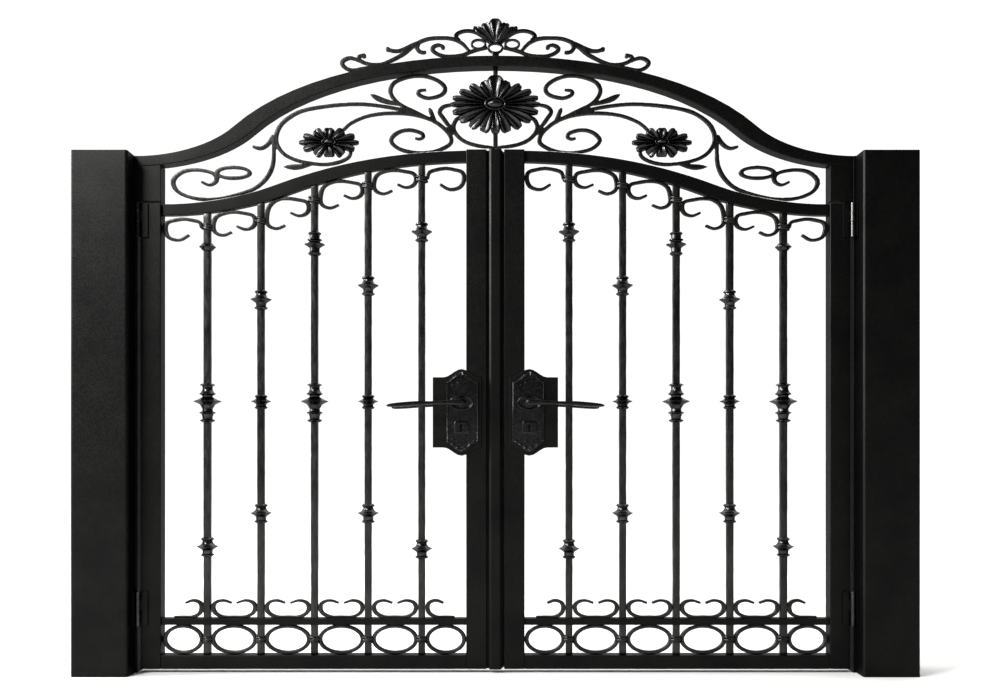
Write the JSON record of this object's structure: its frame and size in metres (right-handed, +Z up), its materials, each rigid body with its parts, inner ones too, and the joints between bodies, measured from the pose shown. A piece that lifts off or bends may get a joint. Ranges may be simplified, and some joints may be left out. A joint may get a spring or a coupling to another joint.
{
  "type": "ornamental double-leaf metal gate with arched overthrow",
  "caption": "Black steel double gate on square posts: swinging leaves with turned bars, rings and scrolls, lever handles, and a fixed ogee arch with scrollwork, cast flowers and a crest.",
  "frame": {"origin": "centre of the left post's foot face, on the ground", "axes": "+X along the gate towards the right post, +Y away from the viewer, +Z up"},
  "size_m": [3.05, 0.205, 2.405],
  "materials": {
    "powder_coat": "satin black fine-texture powder coat on steel",
    "cast_coat": "semi-gloss black paint on castings and turned collars",
    "lock_coat": "satin black coat on the lock plates and levers"
  },
  "bodies": {
    "frame": {"left_post": "powder_coat", "right_post": "powder_coat", "left_jamb_strip": "powder_coat", "right_jamb_strip": "powder_coat", "arch": "powder_coat", "left_arch_leg": "powder_coat", "right_arch_leg": "powder_coat", "left_overthrow_scrolls": "powder_coat", "right_overthrow_scrolls": "powder_coat", "flower_stem": "powder_coat", "big_flower": "cast_coat", "left_flower": "cast_coat", "right_flower": "cast_coat", "left_crest_scrolls": "powder_coat", "right_crest_scrolls": "powder_coat", "palmette": "cast_coat", "left_hinge_brackets": "powder_coat", "right_hinge_brackets": "powder_coat"},
    "left_leaf": {"left_hinge_stile": "powder_coat", "left_meeting_stile": "powder_coat", "left_top_rail": "powder_coat", "left_bottom_rail": "powder_coat", "left_ring_rail": "powder_coat", "left_bars": "powder_coat", "left_collars": "cast_coat", "left_ties": "cast_coat", "left_top_scrolls": "powder_coat", "left_base_scrolls": "powder_coat", "left_rings": "powder_coat", "left_hinge_knuckles": "powder_coat", "left_lock_plates": "lock_coat", "left_escutcheons": "lock_coat", "astragal": "powder_coat"},
    "right_leaf": {"right_hinge_stile": "powder_coat", "right_meeting_stile": "powder_coat", "right_top_rail": "powder_coat", "right_bottom_rail": "powder_coat", "right_ring_rail": "powder_coat", "right_bars": "powder_coat", "right_collars": "cast_coat", "right_ties": "cast_coat", "right_top_scrolls": "powder_coat", "right_base_scrolls": "powder_coat", "right_rings": "powder_coat", "right_hinge_knuckles": "powder_coat", "right_lock_plates": "lock_coat", "right_escutcheons": "lock_coat"},
    "left_lever": {"left_lever": "lock_coat"},
    "right_lever": {"right_lever": "lock_coat"}
  },
  "joints": [
    {"name": "left_leaf_swing", "type": "hinge", "parent": "frame", "child": "left_leaf", "pos_m": [0.1175, -0.038, 0], "axis": [0, 0, -1], "range_deg": [0, 90]},
    {"name": "right_leaf_swing", "type": "hinge", "parent": "frame", "child": "right_leaf", "pos_m": [2.7275, -0.038, 0], "axis": [0, 0, 1], "range_deg": [0, 90]},
    {"name": "left_lever_turn", "type": "hinge", "parent": "left_leaf", "child": "left_lever", "pos_m": [1.2985, 0, 0.987], "axis": [0, -1, 0], "range_deg": [0, 45], "stiffness_Nm_per_rad": 4, "springref_deg": -28.65},
    {"name": "right_lever_turn", "type": "hinge", "parent": "right_leaf", "child": "right_lever", "pos_m": [1.5465, 0, 0.987], "axis": [0, 1, 0], "range_deg": [0, 45], "stiffness_Nm_per_rad": 4, "springref_deg": -28.65}
  ]
}
